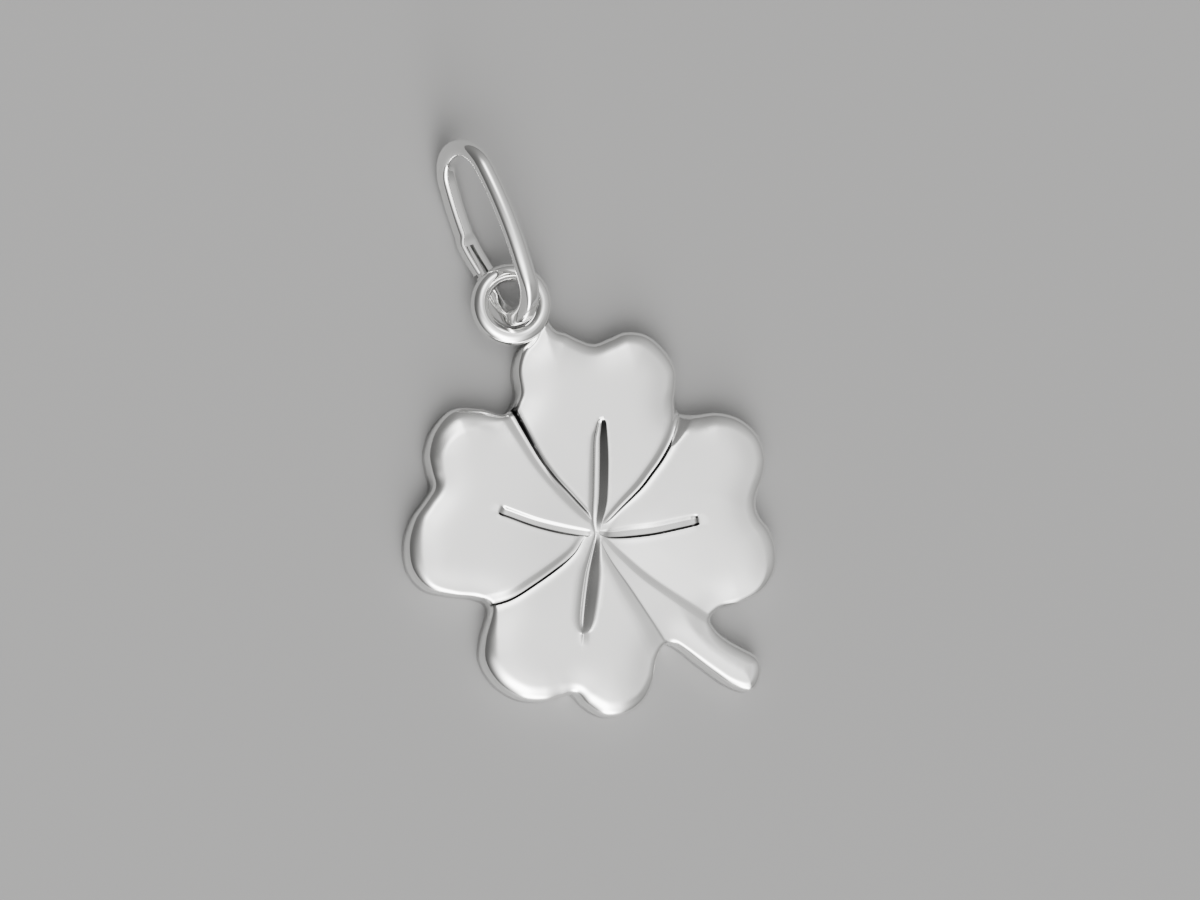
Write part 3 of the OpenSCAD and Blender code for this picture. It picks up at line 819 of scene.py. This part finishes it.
@dataclass
class Eyelet:
    """The round wire eyelet at the top leaf's edge, with its sizes in mm."""

    y: float = 9.712
    z: float = 1.24
    outer_d: float = 3.3
    wire: float = 0.74
    steps_round: int = 160
    wire_sides: int = 48
    smooth_angle: float = 180.0
    finish: SilverFinish = WIRE_SILVER

    def build(self) -> bpy.types.Object:
        """Builds the eyelet's ring.

        Returns:
            The ring's object.
        """
        select_none()
        bpy.ops.mesh.primitive_torus_add(
            location=(0, self.y * MM, self.z * MM),
            major_segments=self.steps_round, minor_segments=self.wire_sides,
            major_radius=(self.outer_d - self.wire) / 2 * MM, minor_radius=self.wire / 2 * MM)
        ring = bpy.context.object
        ring.name = "eyelet"
        bpy.ops.object.transform_apply(location=True, rotation=True, scale=True)
        return ring

    def dress(self, ring: bpy.types.Object) -> None:
        """Smooths the ring and gives it its silver."""
        hand_over(ring, self.finish, self.smooth_angle, ())


@dataclass
class Bail:
    """The oval wire bail with its forked catch.

    Lengths are in mm and angles in degrees. The oval is drawn with its long axis on Y and its middle at the
    origin, and the catch lies on its -X side, where it runs towards the eyelet at -Y.
    """

    # The oval's half length and width, its ends' radius, its wire, its lean from upright and turn on the
    # floor, where its near end is, and how far it is lifted off the floor.
    half_l: float = 3.575
    half_w: float = 1.6
    end_r: float = 1.4
    wire: float = 0.7
    lean: float = 21.0
    turn: float = 0.75
    near_y: float = 9.152
    lift: float = 0.014
    # The fork and how far it reaches back past the oval's middle, its slot, the prong over the slot, the
    # tongue, and the gap between the fork's tip and the wire's plain end.
    fork_w: float = 0.88
    fork_t: float = 0.48
    fork_l: float = 1.5
    fork_back: float = 0.1
    slot_w: float = 0.36
    prong_w: float = 0.15
    tongue_t: float = 0.12
    gap: float = 0.12
    # Where the round wire begins to grow into the fork, and over what length.
    grow_lead: float = 0.25
    grow_run: float = 0.45
    # The slot's start as a share of the fork, how far its cutter overshoots the tip, how far the tongue is
    # sunk in the metal at both ends, and its width as a share of the fork's thickness.
    slot_start: float = 0.2
    overshoot: float = 0.3
    tongue_hold: float = 0.15
    tongue_share: float = 0.7
    # The fork's sideways bend: its size, where it starts and where it goes back along the oval, over what
    # lengths, and how much steeper than a plain ease it grows.
    bend: float = 0.17
    bend_from: float = 0.25
    bend_run: float = 2.4
    bend_gain: float = 1.3
    unbend_from: float = -1.45
    unbend_run: float = 0.85
    # The section's corners, added to a round's power of 2, on the fork and on the strand that lies down,
    # how much slimmer that strand is, and how much broader the upper one is.
    fork_corners: float = 3.0
    low_corners: float = 1.4
    low_slim: float = 0.015
    high_broad: float = 0.035
    # The lower strand's section turns into the upper one's within this share of the half width to each
    # side of the middle, and along the oval from this place over this length.
    rise_share: float = 0.6
    rise_from: float = -3.3
    rise_run: float = 1.5
    sides: int = 40
    arc_steps: tuple[int, ...] = (10, 48, 24, 48, 60)
    smooth_angle: float = 35.0
    finish: SilverFinish = WIRE_SILVER

    @property
    def end_at(self) -> float:
        """The end arcs' centres, along the oval."""
        return self.half_l - self.end_r

    @property
    def side_r(self) -> float:
        """The side arcs' radius, with which they meet the end arcs smoothly."""
        return (self.end_at ** 2 + self.half_w ** 2 - self.end_r ** 2) / 2 / (self.half_w - self.end_r)

    @property
    def tip_at(self) -> float:
        """The fork's tip, from the oval's middle towards the eyelet."""
        return self.fork_l - self.fork_back

    def pose(self) -> Matrix:
        """Gives the turn and place of the oval on the floor.

        Returns:
            The matrix, in metres.
        """
        high = self.wire / 2 + self.half_w * math.cos(math.radians(self.lean)) + self.lift
        return (Matrix.Translation((0, self.near_y * MM, high * MM))
                @ Matrix.Rotation(math.radians(self.turn), 4, "Z")
                @ Matrix.Translation((0, self.half_l * MM, 0))
                @ Matrix.Rotation(math.radians(self.lean - 90), 4, "Y"))

    def places(self) -> list[tuple[float, float, float, bool]]:
        """Gives the wire's places from its plain end round to the fork's end.

        Returns:
            Rows of x and y in mm, heading in degrees outwards from the oval, and whether the place is on
            the catch's arc.
        """
        side_r, shift = self.side_r, self.side_r - self.half_w
        side = math.degrees(math.atan2(self.end_at, shift))
        tail = 180 + math.degrees(math.asin((self.tip_at + self.gap) / side_r))
        tip = 180 + math.degrees(math.asin(self.tip_at / side_r))
        arcs = ((shift, 0, side_r, tail, 180 + side),
                (0, -self.end_at, self.end_r, 180 + side, 360 - side),
                (-shift, 0, side_r, -side, side),
                (0, self.end_at, self.end_r, side, 180 - side),
                (shift, 0, side_r, 180 - side, tip))
        rows = []
        for k, (cx, cy, r, start, end) in enumerate(arcs):
            steps, on_catch = self.arc_steps[k], k == len(arcs) - 1
            for i in range(steps + on_catch):
                t = start + (end - start) * i / steps
                c, s = math.cos(math.radians(t)), math.sin(math.radians(t))
                rows.append((cx + r * c, cy + r * s, t, on_catch))
        return rows

    def section(self, share: float, height: float) -> list[Pair]:
        """Gives the wire's section, from round at share 0 to the fork's flat at share 1.

        Args:
            share: How far the section has changed.
            height: From 0 on the strand that lies down to 1 on the upper one.

        Returns:
            Points as distance outwards and upwards in mm.
        """
        power = 2 + self.fork_corners * share + self.low_corners * (1 - share) * (1 - height)
        slim = self.wire / 2 - self.low_slim * (1 - height)
        half_t = slim * (1 - share) + self.fork_t / 2 * share
        half_w = (slim + self.high_broad * height) * (1 - share) + self.fork_w / 2 * share
        points = []
        for q in range(self.sides):
            a = 2 * math.pi * q / self.sides
            c, s = math.cos(a), math.sin(a)
            k = (abs(c) ** power + abs(s) ** power) ** (-1 / power)
            points.append((k * c * half_t, k * s * half_w))
        return points

    def build(self) -> bpy.types.Object:
        """Builds the bail as one closed mesh.

        Returns:
            The bail's object.
        """
        rows = self.places()
        select_none()
        bpy.ops.mesh.primitive_grid_add(x_subdivisions=self.sides, y_subdivisions=len(rows) - 1, size=1)
        bail = bpy.context.object
        bail.name = "bail"
        wide = self.sides + 1
        for i, (x, y, heading, on_catch) in enumerate(rows):
            c, s = math.cos(math.radians(heading)), math.sin(math.radians(heading))
            share = ease((-y + self.fork_back + self.grow_lead) / self.grow_run) if on_catch else 0.0
            over = ease((x / self.half_w + self.rise_share) / (2 * self.rise_share))
            ring = self.section(share, over * ease((y - self.rise_from) / self.rise_run))
            for q in range(wide):
                out, up = ring[q % self.sides]
                bail.data.vertices[i * wide + q].co = ((x + out * c) * MM, (y + out * s) * MM, up * MM)
        self.close_wire()
        self.cut_slot(bail)
        self.bend_fork(bail)
        bail.data.transform(self.pose())
        bail.data.update()
        return bail

    def close_wire(self) -> None:
        """Joins the active grid's long edges into a wire and closes its two ends."""
        bpy.ops.object.mode_set(mode="EDIT")
        bpy.ops.mesh.select_all(action="SELECT")
        bpy.ops.mesh.remove_doubles(threshold=WELD)
        bpy.ops.mesh.select_all(action="DESELECT")
        bpy.ops.mesh.select_mode(type="EDGE")
        bpy.ops.mesh.select_non_manifold()
        bpy.ops.mesh.fill_holes(sides=0)
        bpy.ops.mesh.select_all(action="SELECT")
        bpy.ops.mesh.normals_make_consistent(inside=False)
        bpy.ops.object.mode_set(mode="OBJECT")

    def block(self, low: float, high: float, thick: float, wide: float, name: str) -> bpy.types.Object:
        """Makes a block on the slot's middle line.

        Args:
            low: Its end towards the oval's middle, as distance towards the eyelet in mm.
            high: Its other end.
            thick: Its size across the oval.
            wide: Its size square to the oval.
            name: Its name.

        Returns:
            The block's object, in the oval's own frame.
        """
        select_none()
        mid = (low + high) / 2
        x = -self.half_w + self.side_r * (1 - math.cos(mid / self.side_r))
        z = self.fork_w / 2 - self.prong_w - self.slot_w / 2
        bpy.ops.mesh.primitive_cube_add(size=1, location=(x * MM, -mid * MM, z * MM))
        cube = bpy.context.object
        cube.name = name
        cube.scale = (thick * MM, (high - low) * MM, wide * MM)
        cube.rotation_euler = (0, 0, mid / self.side_r)
        bpy.ops.object.transform_apply(location=True, rotation=True, scale=True)
        return cube

    def cut_slot(self, bail: bpy.types.Object) -> None:
        """Cuts the fork's slot and lays the tongue in it.

        Args:
            bail: The plain wire.
        """
        root = self.slot_start * self.fork_l - self.fork_back
        slot = self.block(root, self.tip_at + self.overshoot, 2 * self.fork_t, self.slot_w, "slot_cutter")
        tongue = self.block(
            root - self.tongue_hold, self.tip_at + self.gap + self.tongue_hold,
            self.fork_t * self.tongue_share, self.tongue_t, "tongue")
        for other, how in ((slot, "DIFFERENCE"), (tongue, "UNION")):
            make_active(bail)
            cut = bail.modifiers.new("catch", "BOOLEAN")
            cut.operation, cut.object, cut.solver = how, other, "EXACT"
            bpy.ops.object.modifier_apply(modifier="catch")
            bpy.data.objects.remove(other)

    def bend_fork(self, bail: bpy.types.Object) -> None:
        """Bends the fork sideways over the floor, from its root to its end.

        Args:
            bail: The wire with its catch, in the oval's own frame.
        """
        level = math.tan(math.radians(self.lean))
        catch_side = -self.half_w / 2 * MM
        for v in bail.data.vertices:
            if v.co.x > catch_side:
                continue
            y = v.co.y / MM
            grown = ease((self.bend_from - y) / self.bend_run) * self.bend_gain
            gone = ease((self.unbend_from - y) / self.unbend_run)
            off = self.bend * min(grown, 1.0) * (1 - gone) * MM
            v.co.z -= off
            v.co.x += off * level

    def dress(self, bail: bpy.types.Object) -> None:
        """Smooths the bail and gives it its silver."""
        hand_over(bail, self.finish, self.smooth_angle, ("bail_ring",))


@dataclass
class Studio:
    """The floor, the soft light tent and the camera."""

    # The camera's lean from upright and the way that it looks along the floor, in degrees from +X, and
    # the roll's cosine and sine.
    tilt: float = 14.8
    heading: float = 2.95
    roll: Pair = (0.9205, 0.3907)
    # The camera's distance and the photograph's width at the pendant, in metres.
    distance: float = 0.28
    frame_w: float = 0.048
    sensor_w: float = 36.0
    clip: Pair = (0.01, 5.0)
    # How far the photograph's middle lies right of and above the clover's, the pixels for each mm, and
    # the height in mm that they are measured at.
    middle_px: Pair = (6.0, 83.0)
    px_per_mm: float = 25.0
    aim_h: float = 1.08
    # The tent's cloth: its stops, the brightest it gets and its colour.
    tent: float = -0.4
    brightest: float = 14.0
    cloth: Triple = (1.0, 0.995, 0.985)
    # Patches of the tent: azimuth and elevation in degrees, spread, and stops brighter or darker.
    patches: tuple[tuple[float, float, float, float], ...] = (
        (-105, 12, .05, 6), (-120, 52, .24, 8), (85, 70, .045, 5), (110, 75, .045, -2.2),
        (-145, 35, 1.4, -4), (50, -35, .4, -1.6), (10, 50, .4, 1.6), (-55, 50, .05, -1.6))
    floor_w: float = 3.0
    floor_color: Triple = (0.2, 0.2, 0.2)
    floor_roughness: float = 0.6

    def axes(self) -> tuple[Vector, Vector, Vector]:
        """Gives the picture's right and up, and the way to the camera.

        Returns:
            Three unit vectors.
        """
        h, t = math.radians(self.heading), math.radians(self.tilt)
        s, w = Vector((math.cos(h), math.sin(h), 0)), Vector((-math.sin(h), math.cos(h), 0))
        flat = math.cos(t) * s + math.sin(t) * Vector((0, 0, 1))
        back = -math.sin(t) * s + math.cos(t) * Vector((0, 0, 1))
        c, q = self.roll
        return c * flat - q * w, q * flat + c * w, back

    def camera(self) -> None:
        """Places the camera at the photograph's viewing angle."""
        right, up, back = self.axes()
        aside, above = (px / self.px_per_mm * MM for px in self.middle_px)
        aim = Vector((0, 0, self.aim_h * MM)) + right * aside + up * above
        data = bpy.data.cameras.new("camera")
        data.sensor_width = self.sensor_w
        data.lens = self.sensor_w * self.distance / self.frame_w
        data.clip_start, data.clip_end = self.clip
        cam = bpy.data.objects.new("camera", data)
        bpy.context.scene.collection.objects.link(cam)
        cam.matrix_world = Matrix((
            (right.x, up.x, back.x, aim.x + back.x * self.distance),
            (right.y, up.y, back.y, aim.y + back.y * self.distance),
            (right.z, up.z, back.z, aim.z + back.z * self.distance), (0, 0, 0, 1)))
        bpy.context.scene.camera = cam

    def floor(self) -> None:
        """Lays the plain pale floor."""
        select_none()
        bpy.ops.mesh.primitive_plane_add(size=self.floor_w, location=(0, 0, 0))
        plane = bpy.context.object
        plane.name = "floor"
        mat = bpy.data.materials.new("floor")
        mat.use_nodes = True
        shader = mat.node_tree.nodes["Principled BSDF"]
        shader.inputs["Base Color"].default_value = (*self.floor_color, 1)
        shader.inputs["Roughness"].default_value = self.floor_roughness
        plane.data.materials.append(mat)

    def lights(self) -> None:
        """Puts the pendant in a soft light tent, with lit and darker parts of its cloth."""
        world = bpy.data.worlds.new("tent")
        world.use_nodes = True
        tree = world.node_tree
        way = tree.nodes.new("ShaderNodeTexCoord").outputs["Generated"]
        stops: Feed = self.tent
        for azimuth, elevation, spread, strength in self.patches:
            a, e = math.radians(azimuth), math.radians(elevation)
            near = tree.nodes.new("ShaderNodeVectorMath")
            near.operation = "DOT_PRODUCT"
            tree.links.new(way, near.inputs[0])
            toward = (math.cos(e) * math.cos(a), math.cos(e) * math.sin(a), math.sin(e))
            near.inputs[1].default_value = toward
            off = math_node(tree, "SUBTRACT", near.outputs["Value"], 1.0)
            fall = math_node(tree, "POWER", math.e, math_node(tree, "DIVIDE", off, spread))
            stops = math_node(tree, "ADD", math_node(tree, "MULTIPLY", fall, strength), stops)
        bright = math_node(tree, "MINIMUM", math_node(tree, "POWER", 2.0, stops), self.brightest)
        cloth = tree.nodes["Background"]
        tree.links.new(bright, cloth.inputs["Strength"])
        cloth.inputs["Color"].default_value = (*self.cloth, 1)
        bpy.context.scene.world = world


def main() -> None:
    """Builds the pendant and its setting."""
    logging.basicConfig(level=logging.INFO, format="%(message)s")
    for part in (CloverPlate(), Eyelet(), Bail()):
        piece = part.build()
        part.dress(piece)
        log.info("%s: %d faces", piece.name, len(piece.data.polygons))
    studio = Studio()
    studio.camera()
    studio.floor()
    studio.lights()


if __name__ == "__main__":
    main()
